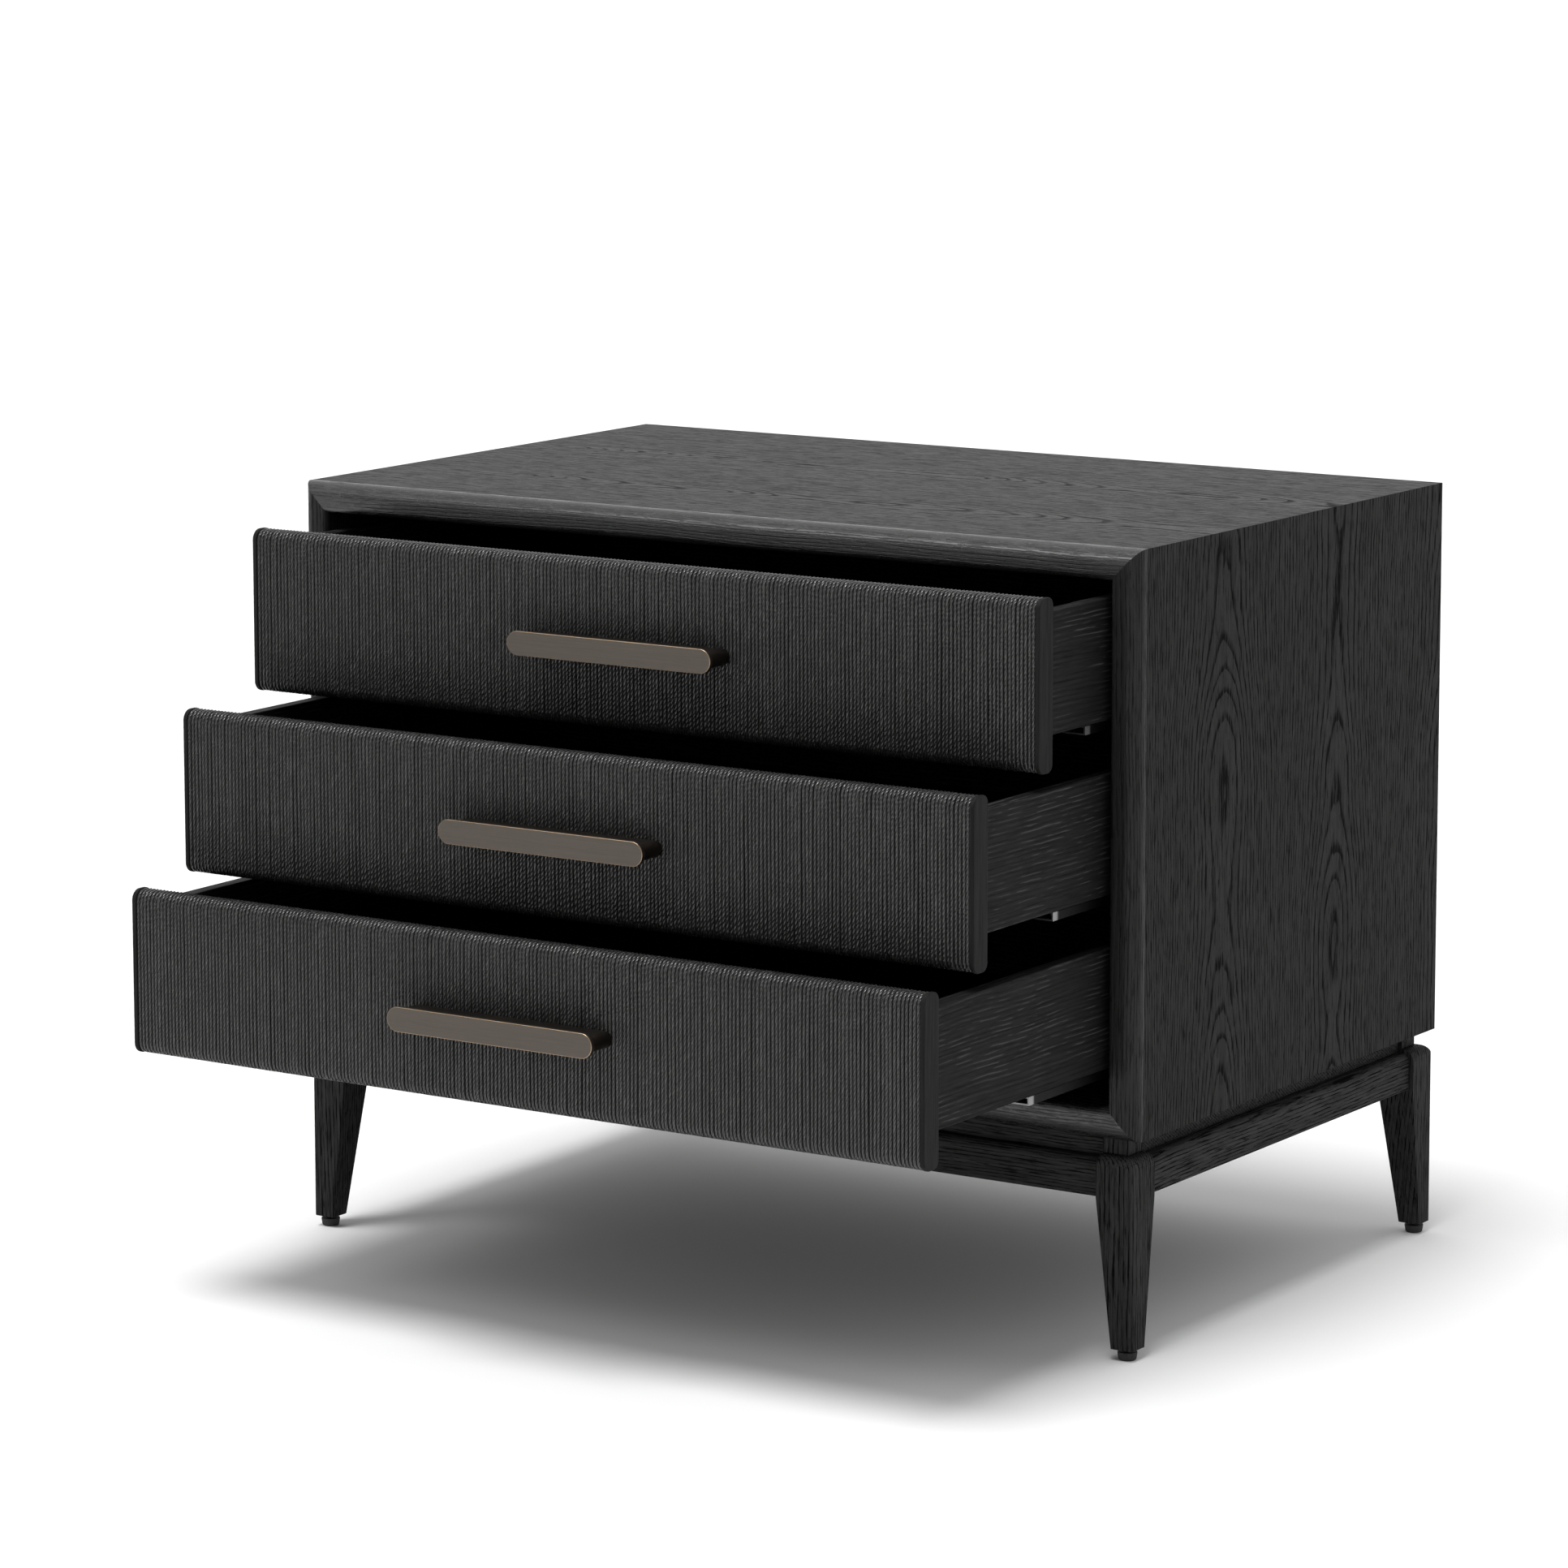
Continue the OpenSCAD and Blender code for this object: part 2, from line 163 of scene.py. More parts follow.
oakLook = {
    "ringWidth": 3.3 * mm,      # growth ring spacing on the quarter
    "leafWidth": 0.185,         # width of one veneer leaf
    "heartDepth": 30 * mm,      # distance from the face to the heart of the log
    "lean": 0.055,              # how fast the heart leans away along the grain
    "face": 0.643,              # metres from the origin to the show face
    "ground": 0.023,
    "line": 0.003,
    "rings": 1.0,               # how strongly the growth rings show
    "pores": 1.0,               # and the pores between them
    "streak": 0.0,              # share of painted highlight: pale dashes along the grain as if it caught the light
    "grainDepth": 0.35 * mm,    # depth of the open grain
    "roughness": 0.46,
    "gloss": 0.14,
}


# how fine each noise is along the grain and across it, then its detail and roughness
oakNoise = {
    "sway": (4, 9, 2, 0.5),             # slow drift of the rings
    "tremble": (34, 120, 2, 0.5),       # short shivers of a ring's edge
    "pores": (42, 520, 2, 0.55),
    "finePores": (95, 1050, 2, 0.6),
    "fibre": (12, 330, 3, 0.65),
    "cloud": (3, 8, 2, 0.5),            # broad unevenness of the stain
    "broken": (30, 420, 2, 0.6),        # breaks in the painted grain highlight on the late wood
    "patch": (9, 16, 2, 0.5),           # and where that painted highlight shows at all
}


# open-grain oak under charcoal stain; grain is the axis the fibres follow, and the
# figure is that of flat-sawn leaves whose heart lies behind the face, or else straight
def stainedOak(name, grain, across, look, leaves=True):
    oak = Finish(name)
    axes = dict(zip("XYZ", oak.axes(oak.place())))
    g = axes[grain]
    a = axes[across]
    b = axes[({"X", "Y", "Z"} - {grain, across}).pop()]

    def grown(kind):
        along, over, detail, rough = oakNoise[kind]
        return oak.noise(oak.vector(g * along, a * over, b * over), 1, detail, rough)

    sway = grown("sway") - 0.5
    tremble = grown("tremble") - 0.5
    if leaves:
        leaf = (a / look["leafWidth"] + 0.37).do("FLOOR")
        local = a - (leaf + 0.13) * look["leafWidth"]
        luck = oak.noise(oak.vector(leaf * 9.3 + 2.1, 4.2, leaf * 5.7), 1, 0)
        roll = oak.noise(oak.vector(g * 5.5, leaf * 5.1 + 3.3, 1.7), 1, 1) - 0.5
        depth = (0.45 + luck * 1.1) * look["heartDepth"]
        depth = depth + g * look["lean"] + roll * 0.034
        depth = depth + (b.do("ABSOLUTE") - look["face"]) * 0.9     # straight on edges
        reach = local - (luck - 0.5) * 0.12 + sway * 0.018
        radius = (reach * reach + depth * depth).do("SQRT")
    else:
        radius = a * 0.8 + b * 0.6 + sway * 0.012
    widths = oak.noise(oak.vector(radius * 70, 0.0, 3.1), 1, 1)
    phase = (radius / look["ringWidth"] + tremble * 0.45 + widths * 1.6).do("FRACT")
    early = phase.ramp(0.0, 0.07) * (1 - phase.ramp(0.12, 0.40)) * look["rings"]

    pores = grown("pores")
    finePores = grown("finePores")
    fibre = grown("fibre")
    line = early * (0.28 + pores.ramp(0.38, 0.56) * 0.72)
    dash = pores.ramp(0.56, 0.65) * 0.5 + finePores.ramp(0.54, 0.63) * 0.35
    dark = (line + dash * look["pores"]).do("MINIMUM", 1.0)

    level = look["ground"]
    ground = oak.blend(grown("cloud"), rgb(level * 0.85), rgb(level * 1.25, 0.012))
    ground = oak.blend(fibre.ramp(0.38, 0.62) * 0.55, ground, rgb(level * 0.45))
    ground = oak.blend(dark, ground, rgb(look["line"]))
    # pale dashes on the late wood are painted highlight: grain catching grazing light,
    # put into the colour
    if look["streak"]:
        late = phase.ramp(0.45, 0.52) * (1 - phase.ramp(0.66, 0.78))
        broken = grown("broken").ramp(0.47, 0.57)
        patch = grown("patch").ramp(0.36, 0.58)
        paintedGrainHighlight = late * broken * patch * look["streak"]
        ground = oak.blend(paintedGrainHighlight, ground, rgb(level * 7))

    height = 0.6 - dark * 0.6 + fibre * 0.2
    return oak.finish(
        Base_Color=ground,
        Roughness=look["roughness"] + dark * 0.40 + (fibre - 0.5) * 0.20,
        Normal=oak.bump(height, look["grainDepth"], 0.8),
        Specular_IOR_Level=look["gloss"])


cordLook = {
    "lay": 13 * mm,         # length of one full twist
    "strands": 3,
    "ground": 0.016,
    "creaseShade": 0.0007,       # painted shade in the creases between strands and between cords
    "uneven": 0.75,         # how much darker the darkest cords are
    "strandGlint": 0.80,         # strength of the painted highlight on single strands
    "relief": 0.7 * mm,
    "roughness": 0.22,
    "gloss": 0.80,
}


# twisted cord; the place round the cord, the length along it and the cord's own shade
# come with the mesh
def twistedCord(look):
    cord = Finish("twistedCord")
    along, turn, tone = [
        cord.node("ShaderNodeAttribute", {"attribute_name": name}, output="Fac")
        for name in ("cordAlong", "cordTurn", "cordTone")]
    slack = cord.noise(cord.vector(along * 45, tone * 40, 0.0), 1, 2) - 0.5
    strand = (turn + along / look["lay"] + slack * 0.9) * look["strands"]
    luck = cord.noise(cord.vector(strand.do("FLOOR") * 1.7, tone * 31, 0.0), 1, 1)
    phase = strand.do("FRACT")
    swell = (phase * pi).do("SINE")
    hair = cord.noise(cord.vector(phase * 5, along * 520, tone * 70), 1, 2, 0.6)
    worn = cord.noise(cord.place(), 22, 3)
    # painted shade on each cord's flanks, where it turns away between its neighbours;
    # they are rougher there too
    flankShade = turn.do("ABSOLUTE").ramp(0.08, 0.21)
    level, creaseShade = look["ground"], look["creaseShade"]
    # painted shade in the grooves between strands
    body = cord.blend(swell.ramp(0.10, 0.75), rgb(creaseShade * 2), rgb(level * 1.15, 0.03))
    body = cord.blend(tone * look["uneven"], body, rgb(level * 0.45))
    # random strands get a painted highlight, as if they caught the light
    strandGlintMask = luck.ramp(0.50, 0.68) * look["strandGlint"]
    body = cord.blend(strandGlintMask, body, rgb(level * 2.6, 0.02))
    body = cord.blend(worn.ramp(0.45, 0.8) * 0.35, body, rgb(level * 1.6, 0.02))
    body = cord.blend(flankShade * 0.86, body, rgb(creaseShade))
    height = swell.do("SQRT") + hair * 0.25
    rough = look["roughness"] + (hair - 0.5) * 0.30 + (0.5 - luck) * 0.3 + flankShade * 0.55
    return cord.finish(Base_Color=body, Roughness=rough,
                       Normal=cord.bump(height, look["relief"], 1.0),
                       Specular_IOR_Level=look["gloss"])


# colour, roughness, and how much the brush marks differ from it
bronzeLook = {
    "face": ((0.105, 0.091, 0.079), 0.40, 0.45),
    # the rim's bright brass is partly the rubbed edge and partly a painted highlight
    # along the face's edge
    "rim": ((0.36, 0.26, 0.17), 0.30, 0.15),
    # the bar is far darker than the face: partly its own darker bronze, partly painted
    # shade for where it lies behind the plate
    "bar": ((0.036, 0.029, 0.024), 0.45, 0.25),
}


# metal brushed along X
def brushedMetal(name, colour, roughness, contrast):
    metal = Finish(name)
    x, y, z = metal.axes(metal.place())
    streak = metal.noise(metal.vector(x * 14, y * 1100, z * 1100), 1, 4, 0.75)
    patch = metal.noise(metal.vector(x * 30, y * 60, z * 60), 1, 3)
    dark = tuple(c * (1 - contrast) for c in colour)
    light = tuple(c * (1 + contrast) for c in colour)
    tint = metal.blend(streak * 0.7 + patch * 0.3, dark, light)
    return metal.finish(
        Base_Color=tint, Metallic=1.0,
        Roughness=roughness + (streak - 0.5) * 0.30 + (patch - 0.5) * 0.20,
        Normal=metal.bump(streak, 0.08 * mm, 0.5))


# rolled sheet steel with a zinc skin
def zincSteel():
    zinc = Finish("zincSteel")
    place = zinc.place()
    spangle = zinc.node("ShaderNodeTexVoronoi",
                        sockets={"Vector": place, "Scale": 260.0})
    rub = zinc.noise(place, 120, 3)
    tint = zinc.blend(spangle.ramp(0.1, 0.8), (0.30, 0.31, 0.33), (0.48, 0.49, 0.51))
    return zinc.finish(Base_Color=tint, Metallic=1.0, Roughness=0.30 + rub * 0.18,
                       Normal=zinc.bump(rub, 0.05 * mm, 0.3))


sliderLook = {
    "litTipUntil": 5 * mm,      # length of the painted highlight at the front tip
    "shadedFrom": 9 * mm,
    # painted shade along the slider behind its tip, and the painted highlight at the
    # tip
    "dark": 0.010,
    "paintedTipHighlight": 0.32,
}


# the same steel painted dark as painted shade for where it lies under the box, with a
# painted highlight at the front tip that catches the light
def shadedSteelLitTip(name, tip):
    look = sliderLook
    steel = Finish(name)
    place = steel.place()
    y = steel.axes(place)[1]
    rub = steel.noise(place, 150, 3)
    # dark painted shade behind the tip, painted highlight at the tip
    back = y.ramp(tip + look["litTipUntil"], tip + look["shadedFrom"])
    paintedTipHighlight = (1 - back) * (0.7 + rub * 0.3)
    tint = steel.blend(paintedTipHighlight, rgb(look["dark"]), rgb(look["paintedTipHighlight"]))
    return steel.finish(Base_Color=tint, Metallic=1.0,
                        Roughness=0.48 - paintedTipHighlight * 0.15 + rub * 0.1,
                        Normal=steel.bump(rub, 0.05 * mm, 0.3))


# moulded nylon, matt, with a fine grain
def blackNylon():
    nylon = Finish("blackNylon")
    place = nylon.place()
    grain = nylon.noise(place, 1800, 2)
    scuff = nylon.noise(place, 160, 3)
    tint = nylon.blend(scuff, rgb(0.008), rgb(0.018))
    return nylon.finish(Base_Color=tint, Roughness=0.50 + scuff * 0.2,
                        Normal=nylon.bump(grain, 0.06 * mm, 0.5))


# the same oak on the other pieces, each with its ground set lighter or darker so that
# its face shows as bright as it looks under the light: painted light and shade on top
# of the oak's own tone
sideLook = dict(oakLook, ground=0.021, line=0.002, roughness=0.55, gloss=0.06,
                face=0.406)
backLook = dict(sideLook, face=0.393)
boxLook = dict(sideLook, ground=0.011, rings=0.3, pores=0.3, streak=0.55)
capLook = dict(boxLook, ground=0.015, rings=0.15, pores=0.2, streak=0.0)
trimLook = dict(sideLook, ringWidth=2.4 * mm, ground=0.034, roughness=0.48, gloss=0.03)
noseLook = dict(trimLook, ground=0.013, roughness=0.25, gloss=0.75)
uprightNoseLook = dict(trimLook, ground=0.018, roughness=0.34, gloss=0.16)

# grain axis, the axis across it on the show face, look, and whether it has leaf figure
oaks = {
    "topOak": ("X", "Y", oakLook, True),
    "sideOak": ("Z", "Y", sideLook, True),
    "backOak": ("Z", "X", backLook, True),
    "noseOak": ("X", "Z", noseLook, False),
    "uprightNoseOak": ("Z", "Y", uprightNoseLook, False),
    "railOak": ("X", "Z", trimLook, False),
    "deepOak": ("Y", "Z", trimLook, False),
    "uprightOak": ("Z", "Y", trimLook, False),
    "capOak": ("Z", "Y", capLook, False),
    "boxSideOak": ("Y", "Z", boxLook, False),
    "boxEndOak": ("X", "Z", boxLook, False),
    "boxFloorOak": ("X", "Y", boxLook, True),
}


def makeFinishes():
    made = {name: stainedOak(name, *recipe) for name, recipe in oaks.items()}
    made.update({
        "cord": twistedCord(cordLook),
        "bronze": brushedMetal("brushedBronze", *bronzeLook["face"]),
        "rim": brushedMetal("wornAndLitBrassRim", *bronzeLook["rim"]),
        "bar": brushedMetal("darkBronze", *bronzeLook["bar"]),
        "zinc": zincSteel(),
        "nylon": blackNylon(),
    })
    return made


finishes = makeFinishes()
print("finishes made")


# a CAD piece keeps its mesh and gets one finish
def dress(node, finish):
    slots = frame["nodes"][node].data.materials
    slots.clear()
    slots.append(finishes[finish])


nodeFinish = {
    "case_top": "topOak", "case_bottom": "topOak",
    "case_left_side": "sideOak", "case_right_side": "sideOak",
    "edge_top": "noseOak", "edge_bottom": "noseOak",
    "edge_left": "uprightNoseOak", "edge_right": "uprightNoseOak",
    "back_panel": "backOak", "plinth_rails": "railOak", "fixed_runners": "zinc",
}
drawerFinish = {
    "front_core": "boxEndOak", "box_bottom": "boxFloorOak", "pull_screws": "zinc",
    "drawer_runners": "zinc",
}
for node, finish in nodeFinish.items():
    dress(node, finish)
for drawer in drawers:
    for node, finish in drawerFinish.items():
        dress(f"{drawer}_{node}", finish)
    slider = f"{drawer}_sliding_runners"
    finishes[slider] = shadedSteelLitTip(f"{drawer}SliderSteel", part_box(slider)[0].y)
    dress(slider, slider)
print("CAD pieces dressed")


# a finished mesh that stands in for CAD nodes and moves with their body
def newPiece(name, bm, materials, body, slotName, *nodes):
    mesh = bpy.data.meshes.new(name)
    bm.to_mesh(mesh)
    bm.free()
    for finish in materials:
        mesh.materials.append(finishes[finish])
    piece = bpy.data.objects.new(name, mesh)
    bpy.context.scene.collection.objects.link(piece)
    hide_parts(*nodes)
    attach(piece, body)


# the vertices an operator made, and the edges that join them to each other
def newRing(geometry):
    verts = [g for g in geometry if isinstance(g, bmesh.types.BMVert)]
    known = set(verts)
    edges = [g for g in geometry if isinstance(g, bmesh.types.BMEdge)
             and all(v in known for v in g.verts)]
    return verts, edges


# a copy of a CAD solid with its triangles merged into whole faces
def wholeFaces(node):
    bm = bmesh.new()
    bm.from_mesh(frame["nodes"][node].data)
    bmesh.ops.remove_doubles(bm, verts=bm.verts, dist=mergeDistance)
    bmesh.ops.dissolve_limit(bm, angle_limit=radians(0.5), verts=bm.verts,
                             edges=bm.edges)
    return bm


def sharpEdges(bm, angle=radians(38)):
    return [e for e in bm.edges if e.is_manifold and e.calc_face_angle() > angle]


def ease(bm, edges, radius, segments=3, material=-1):
    made = bmesh.ops.bevel(bm, geom=edges, offset=radius, segments=segments,
                           affect="EDGES", profile=0.5, material=material,
                           clamp_overlap=True)
    for face in made["faces"]:
        face.smooth = True


# CAD node: piece name, finish, slot, and the radius of its eased edges in mm
easedPieces = {
    "leg_front_left": ("legFrontLeft", "uprightOak", "case_oak", 0.8),
    "leg_front_right": ("legFrontRight", "uprightOak", "case_oak", 0.8),
    "leg_back_left": ("legBackLeft", "uprightOak", "case_oak", 0.8),
    "leg_back_right": ("legBackRight", "uprightOak", "case_oak", 0.8),
    "apron_front": ("apronFront", "railOak", "case_oak", 0.6),
    "apron_back": ("apronBack", "railOak", "case_oak", 0.6),
    "apron_left": ("apronLeft", "deepOak", "case_oak", 0.6),
    "apron_right": ("apronRight", "deepOak", "case_oak", 0.6),
    "spacer_blocks": ("spacerBlocks", "uprightOak", "case_oak", 0.8),
}
easedDrawerPieces = {
    "end_caps": ("EndCaps", "capOak", "case_oak", 0.9),
    "box_front": ("BoxFront", "boxEndOak", "drawer_wood", 0.8),
    "box_back": ("BoxBack", "boxEndOak", "drawer_wood", 0.8),
    "box_left": ("BoxLeftSide", "boxSideOak", "drawer_wood", 0.8),
    "box_right": ("BoxRightSide", "boxSideOak", "drawer_wood", 0.8),
    "pull_bar": ("PullBar", "bar", "dark_bronze", 0.5),
}


def easedPiece(node, name, finish, slotName, radius, body):
    bm = wholeFaces(node)
    ease(bm, sharpEdges(bm), radius * mm)
    newPiece(name, bm, [finish], body, slotName, node)


for node, (name, finish, slotName, radius) in easedPieces.items():
    easedPiece(node, name, finish, slotName, radius, "case")
for drawer in drawers:
    for node, (name, finish, slotName, radius) in easedDrawerPieces.items():
        easedPiece(f"{drawer}_{node}", f"{drawer}Drawer{name}", finish, slotName,
                   radius, f"{drawer}_drawer")
print("edges eased")


pullPlate = {
    "rim": 0.5,         # radius of the bright rim round the face, partly rubbed brass and partly painted highlight, in mm
    "backEdge": 0.3,
    "nearFace": 0.1,    # edges this close to the face are its own
}


def makePullPlate(drawer):
    node = f"{drawer}_pull_plate"
    bm = wholeFaces(node)
    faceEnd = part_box(node)[0].y + pullPlate["nearFace"] * mm

    def onFace(edge):
        return all(v.co.y < faceEnd for v in edge.verts)

    back = [e for e in sharpEdges(bm) if not onFace(e)]
    ease(bm, back, pullPlate["backEdge"] * mm, 2)
    front = [e for e in sharpEdges(bm) if onFace(e)]
    ease(bm, front, pullPlate["rim"] * mm, 3, material=1)   # in the second finish
    newPiece(f"{drawer}DrawerPullPlate", bm, ["bronze", "rim"], f"{drawer}_drawer",
             "bronze", node)


for drawer in drawers:
    makePullPlate(drawer)
print("pull plates made")


cordWrap = {
    "pitch": 3.5,           # mm between neighbouring cords
    "depth": 1.6,           # mm from the outside of the wrap to the middle of a cord
    "thick": 0.89,          # share of the pitch that a cord fills
    "sides": 6,
    "frontRound": 9.0,      # outside radius over the face edges
    "backRound": 7.0,
    "return": 22.0,         # turned over on the back
    "wander": 0.60,         # mm that a cord strays sideways
    "wanderScale": (0.45, 22, 3.1),     # change per cord, per metre up and per drawer
    "jitter": 0.10,         # mm of shorter kinks on top of that
    "jitterScale": (7.3, 40, 1.7),
    "sunk": 0.45,           # mm that the deepest cord lies behind the others
    "swell": 0.09,          # how much cords differ in thickness
    "seed": 11,
}


# one cord in the plane x = 0, that comes down the back, under, up the face and over to
# the back again
def oneCord(low, high, look):
    depth = look["depth"] * mm
    front = look["frontRound"] * mm
    back = look["backRound"] * mm
    bm = bmesh.new()
    layers = bm.verts.layers.float
    for name in ("cordTone", "cordTurn", "cordAlong"):
        layers.new(name)
    along, turn = layers["cordAlong"], layers["cordTurn"]
    made = bmesh.ops.create_circle(bm, cap_ends=True, segments=look["sides"],
                                   radius=look["pitch"] / 2 * look["thick"] * mm)
    ring = made["verts"]
    for vert in ring:
        angle = vert.co.to_2d().angle_signed(Vector((0, 1)), 0)
        vert[turn] = angle / tau
    start = Vector((0, high.y - depth, low.z + look["return"] * mm))
    bmesh.ops.translate(bm, verts=ring, vec=start)
    edges = list(bm.edges)
    travelled = 0.0

    def record(verts, step):
        nonlocal travelled
        travelled += step
        for vert in verts:
            vert[along] = travelled

    def straight(edges, vector, steps=1):
        for step in range(steps):
            grown = bmesh.ops.extrude_edge_only(bm, edges=edges)["geom"]
            verts, edges = newRing(grown)
            bmesh.ops.translate(bm, verts=verts, vec=vector / steps)
            record(verts, vector.length / steps)
        return edges

    def corner(edges, centreY, centreZ, radius, steps):
        for step in range(steps):
            spun = bmesh.ops.spin(bm, geom=edges, cent=(0, centreY, centreZ),
                                  axis=(1, 0, 0), angle=-pi / 2 / steps, steps=1,
                                  use_duplicate=False)
            verts, edges = newRing(spun["geom_last"])
            record(verts, radius * pi / 2 / steps)
        return edges

    flat = high.y - low.y - front - back
    backTurn = Vector((0, 0, -(look["return"] * mm - back)))
    backY, frontY = high.y - back, low.y + front
    backBend, frontBend = back - depth, front - depth
    edges = straight(edges, backTurn)
    edges = corner(edges, backY, low.z + back, backBend, 1)
    edges = straight(edges, Vector((0, -flat, 0)))
    edges = corner(edges, frontY, low.z + front, frontBend, 3)
    edges = straight(edges, Vector((0, 0, high.z - low.z - 2 * front)), 3)
    edges = corner(edges, frontY, high.z - front, frontBend, 3)
    edges = straight(edges, Vector((0, flat, 0)))
    edges = corner(edges, backY, high.z - back, backBend, 1)
    edges = straight(edges, backTurn)
    bmesh.ops.holes_fill(bm, edges=edges)
    bmesh.ops.remove_doubles(bm, verts=bm.verts, dist=mergeDistance)
    bmesh.ops.recalc_face_normals(bm, faces=bm.faces)
    for face in bm.faces:
        face.smooth = True
    return bm


def strayed(scale, k, height, seed):
    perCord, perMetre, perDrawer = scale
    return noise.noise(Vector((k * perCord, height * perMetre, seed * perDrawer)))


def makeCordWrap(drawer, seed):
    look = cordWrap
    node = f"{drawer}_cord_wrap"
    low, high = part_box(node)
    dice = Random(seed)
    bm = oneCord(low, high, look)
    tone = bm.verts.layers.float["cordTone"]
    along = bm.verts.layers.float["cordAlong"]
    template = list(bm.verts) + list(bm.edges) + list(bm.faces)
    count = round((high.x - low.x) / (look["pitch"] * mm))
    pitch = (high.x - low.x) / count
    middle = (low.y + high.y) / 2
    for k in range(count):
        verts = newRing(bmesh.ops.duplicate(bm, geom=template)["geom"])[0]
        x = low.x + (k + 0.5) * pitch
        fat = 1 + look["swell"] * dice.uniform(-1, 0.2)
        shade = dice.random()
        start = dice.uniform(0, 1)
        sunk = dice.uniform(0, look["sunk"]) * mm
        inner = 0 < k < count - 1
        for vert in verts:
            stray = strayed(look["wanderScale"], k, vert.co.z, seed)
            jitter = strayed(look["jitterScale"], k, vert.co.z, seed)
            drift = (stray * look["wander"] + jitter * look["jitter"]) * mm
            vert.co.x = x + vert.co.x * fat + (drift if inner else 0)
            vert.co.y += sunk if vert.co.y < middle else 0
            vert[tone] = shade
            vert[along] += start
    bmesh.ops.delete(bm, geom=newRing(template)[0], context="VERTS")
    newPiece(f"{drawer}DrawerCordWrap", bm, ["cord"], f"{drawer}_drawer", "cord", node)


for index, drawer in enumerate(drawers):
    makeCordWrap(drawer, cordWrap["seed"] + index)
print("cords wound")


foot = {
    "ribs": 30,
    "ribDepth": 0.35,       # mm
    "radius": 8.0,
    "lowRadius": 7.0,
    "height": 7.0,
    "rounding": 0.8,        # at the floor and at the top edge
    "chamfer": 0.2,         # a smaller step beside each rounding
    "neck": 4.0,
    "neckTop": 9.0,
    "stem": 3.0,
    "stemTop": 34.0,
}


def oneFoot(bm, centre):
    segments = foot["ribs"] * 2
    rounding, chamfer = foot["rounding"], foot["chamfer"]
    low, wide, height = foot["lowRadius"], foot["radius"], foot["height"]
    made = bmesh.ops.create_circle(bm, cap_ends=True, segments=segments,
                                   radius=(low - rounding) * mm)
    verts = made["verts"]
    everything = list(verts)
    edges = list({e for v in verts for e in v.link_edges})
    # radius, level and whether the ribs show there, from the floor up
    profile = [
        (low, rounding, False),
        (low + chamfer, rounding + chamfer, True),
        (wide, height - rounding, True),
        (wide - chamfer, height - 2 * chamfer, False),
        (wide - rounding, height, False),
        (foot["neck"], height, False),
        (foot["neck"], foot["neckTop"], False),
        (foot["stem"], foot["neckTop"], False),
        (foot["stem"], foot["stemTop"], False),
    ]
    for radius, level, ribbed in profile:
        verts, edges = newRing(bmesh.ops.extrude_edge_only(bm, edges=edges)["geom"])
        everything += verts
        for vert in verts:
            angle = vert.co.to_2d().angle_signed(Vector((1, 0)), 0)
            rib = round(angle / tau * segments) % 2
            reach = radius - (foot["ribDepth"] if ribbed and rib else 0)
            vert.co.xy = vert.co.xy.normalized() * reach * mm
            vert.co.z = level * mm
    bmesh.ops.holes_fill(bm, edges=edges)
    bmesh.ops.translate(bm, verts=everything, vec=centre)


def makeFeet():
    bm = bmesh.new()
    low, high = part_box("levelling_feet")
    reach = foot["radius"] * mm
    for x in (low.x + reach, high.x - reach):
        for y in (low.y + reach, high.y - reach):
            oneFoot(bm, Vector((x, y, 0)))
    bmesh.ops.recalc_face_normals(bm, faces=bm.faces)
    newPiece("levellingFeet", bm, ["nylon"], "case", "foot_rubber", "levelling_feet")


makeFeet()
print("feet made")


# floor, light and camera
studio = {
    "floor": 0.80,              # how pale the floor is
    "floorReach": 30,           # metres to each side
    "overhead": 2.6,            # strength of the overhead light
    "overheadTilt": (14, -4),   # degrees that it leans from the front and the left
    "overheadSpread": 26,       # degrees that it seems wide
    "backGlow": 1.0,            # brightness of the room behind the piece
    "frontGlow": 0.44,          # and in front of it
    "glowFrom": -0.5,           # where between front and back the room brightens
    "glowTo": 0.6,
    "softBox": (-1.9, -2.6, 3.3),
    "softBoxAim": (0, 0, 0.4),
    "softBoxSize": 1.4,
    "softBoxPower": 26,
}


def makeFloor():
    bm = bmesh.new()
    bmesh.ops.create_grid(bm, x_segments=1, y_segments=1, size=studio["floorReach"])
    mesh = bpy.data.meshes.new("Floor")
    bm.to_mesh(mesh)
    bm.free()
    paper = Finish("palePaper")
    mottle = paper.noise(paper.place(), 3, 2)
    tint = paper.blend(mottle, rgb(studio["floor"] * 0.995), rgb(studio["floor"]))
    mesh.materials.append(paper.finish(Base_Color=tint, Roughness=0.9,
                                       Specular_IOR_Level=0.0))
    floor = bpy.data.objects.new("Floor", mesh)
    bpy.context.scene.collection.objects.link(floor)


def overheadLight():
    light = bpy.data.lights.new("Overhead", "SUN")
    light.energy = studio["overhead"]
    light.angle = radians(studio["overheadSpread"])
    lamp = bpy.data.objects.new("Overhead", light)
    lamp.location = (0, 0, 3)
    front, side = studio["overheadTilt"]
    lamp.rotation_euler = (radians(front), radians(side), 0)
    bpy.context.scene.collection.objects.link(lamp)


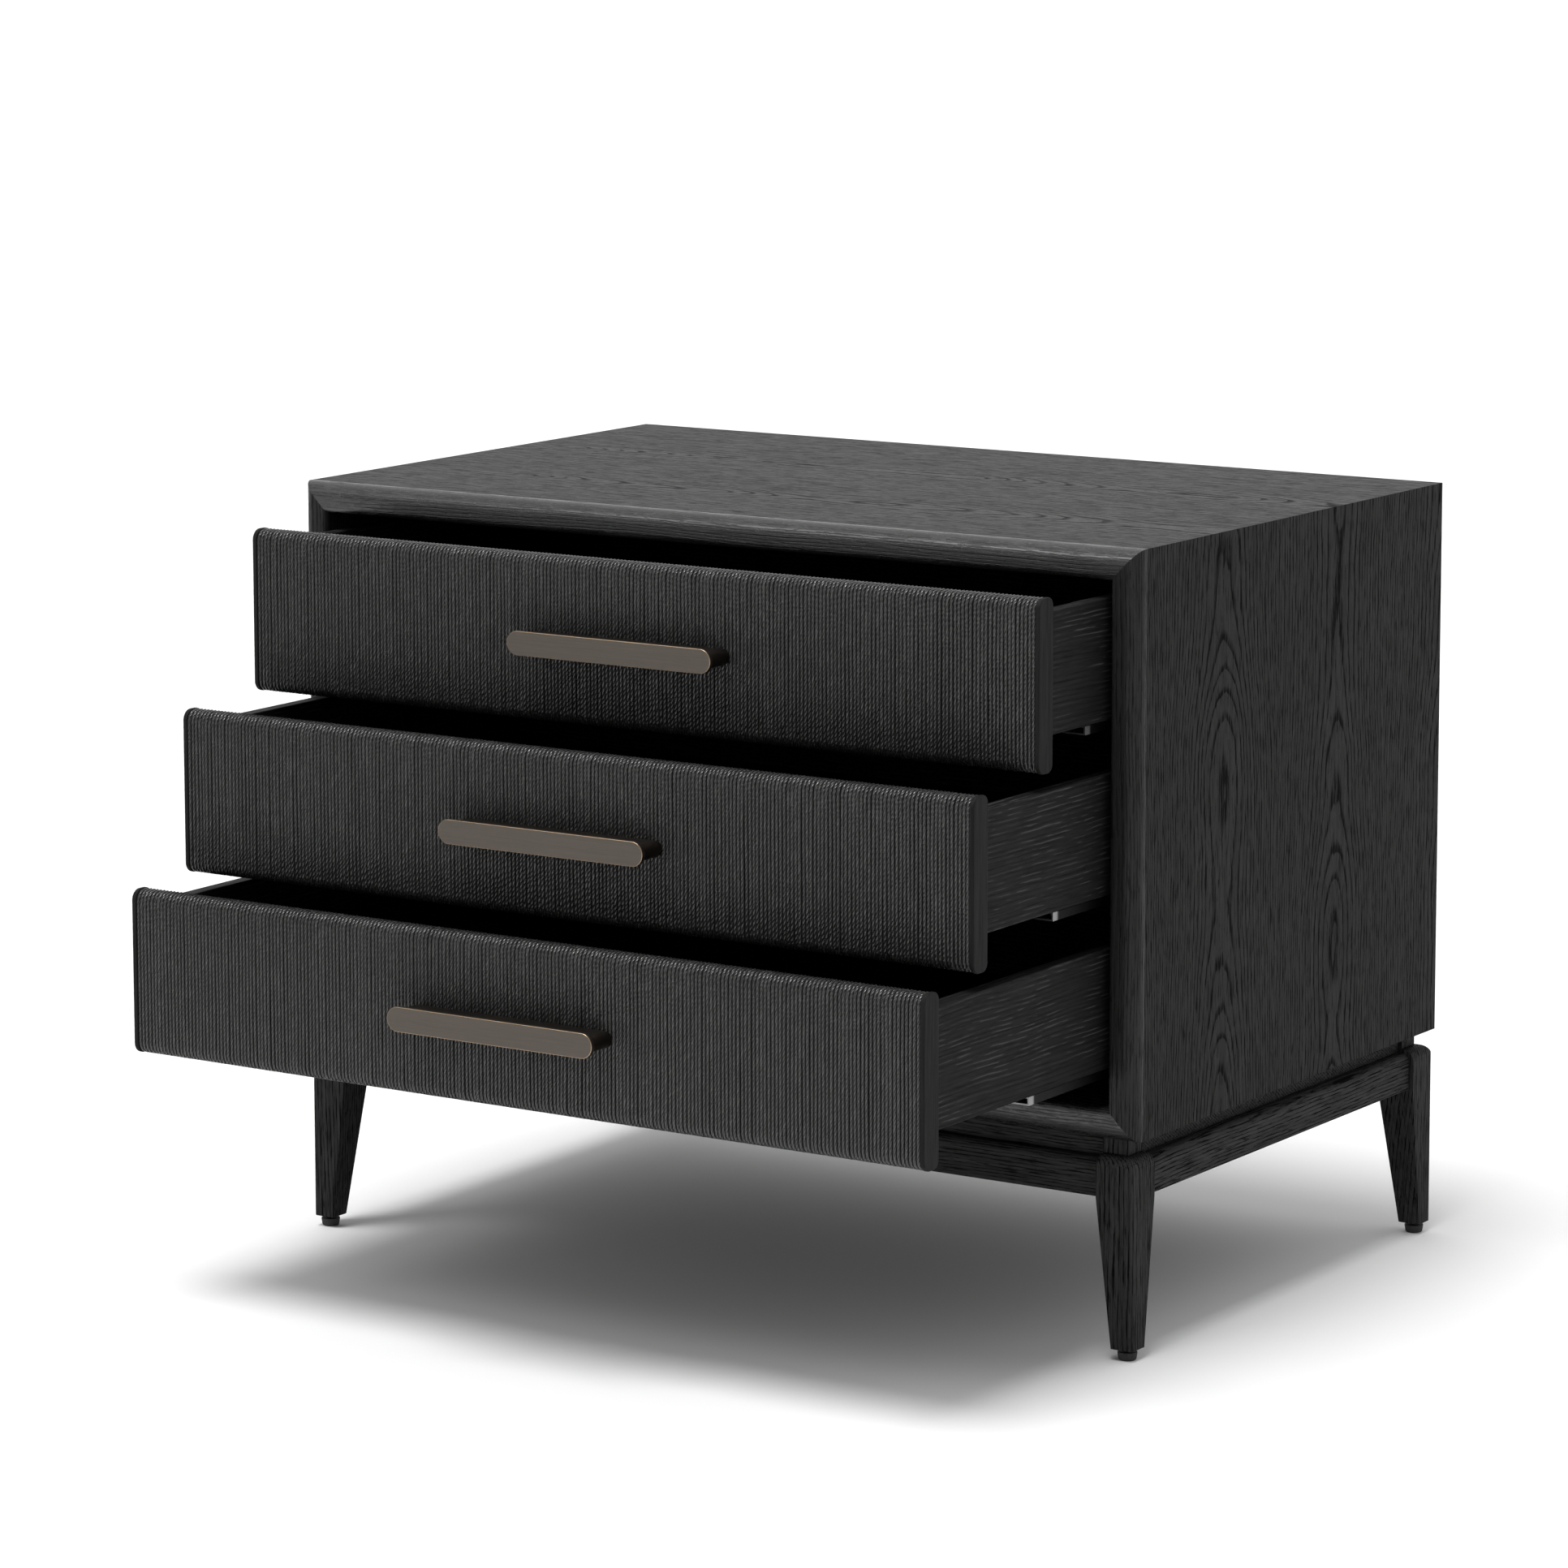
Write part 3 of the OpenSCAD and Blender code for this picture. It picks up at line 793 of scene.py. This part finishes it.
def frontSoftBox():
    light = bpy.data.lights.new("Front softbox", "AREA")
    light.shape = "SQUARE"
    light.size = studio["softBoxSize"]
    light.energy = studio["softBoxPower"]
    lamp = bpy.data.objects.new("Front softbox", light)
    lamp.location = studio["softBox"]
    aim = Vector(studio["softBoxAim"]) - lamp.location
    lamp.rotation_euler = aim.to_track_quat("-Z", "Y").to_euler()
    bpy.context.scene.collection.objects.link(lamp)


# a white room, brighter behind the piece than in front of it
def makeWorld():
    world = bpy.data.worlds.new("Studio")
    world.use_nodes = True
    room = world.node_tree
    background = room.nodes["Background"]
    background.inputs["Color"].default_value = (1, 1, 1, 1)
    direction = room.nodes.new("ShaderNodeTexCoord")
    split = room.nodes.new("ShaderNodeSeparateXYZ")
    glow = room.nodes.new("ShaderNodeMapRange")
    glow.interpolation_type = "SMOOTHSTEP"
    for name, value in (("From Min", "glowFrom"), ("From Max", "glowTo"),
                        ("To Min", "frontGlow"), ("To Max", "backGlow")):
        glow.inputs[name].default_value = studio[value]
    room.links.new(direction.outputs["Generated"], split.inputs[0])
    room.links.new(split.outputs["Y"], glow.inputs["Value"])
    room.links.new(glow.outputs[0], background.inputs["Strength"])
    bpy.context.scene.world = world
    bpy.context.scene.view_settings.view_transform = "Standard"


camera = {
    "place": (2.6673, -4.0222, 1.2533),
    "turn": 33.44,      # degrees to the left of straight on
    "down": 8.43,
    "roll": 0.10,
    "lens": 136.27,     # mm
    "sensor": 36,
    "shift": -0.10,
    "farthest": 100,
}


def makeCamera():
    lens = bpy.data.cameras.new("Camera")
    lens.sensor_width = camera["sensor"]
    lens.lens = camera["lens"]
    lens.shift_y = camera["shift"]
    lens.clip_end = camera["farthest"]
    eye = bpy.data.objects.new("Camera", lens)
    eye.location = camera["place"]
    eye.rotation_euler = (radians(90 - camera["down"]), radians(camera["roll"]),
                          radians(camera["turn"]))
    bpy.context.scene.collection.objects.link(eye)
    bpy.context.scene.camera = eye


makeFloor()
overheadLight()
frontSoftBox()
makeWorld()
makeCamera()
print("studio set")
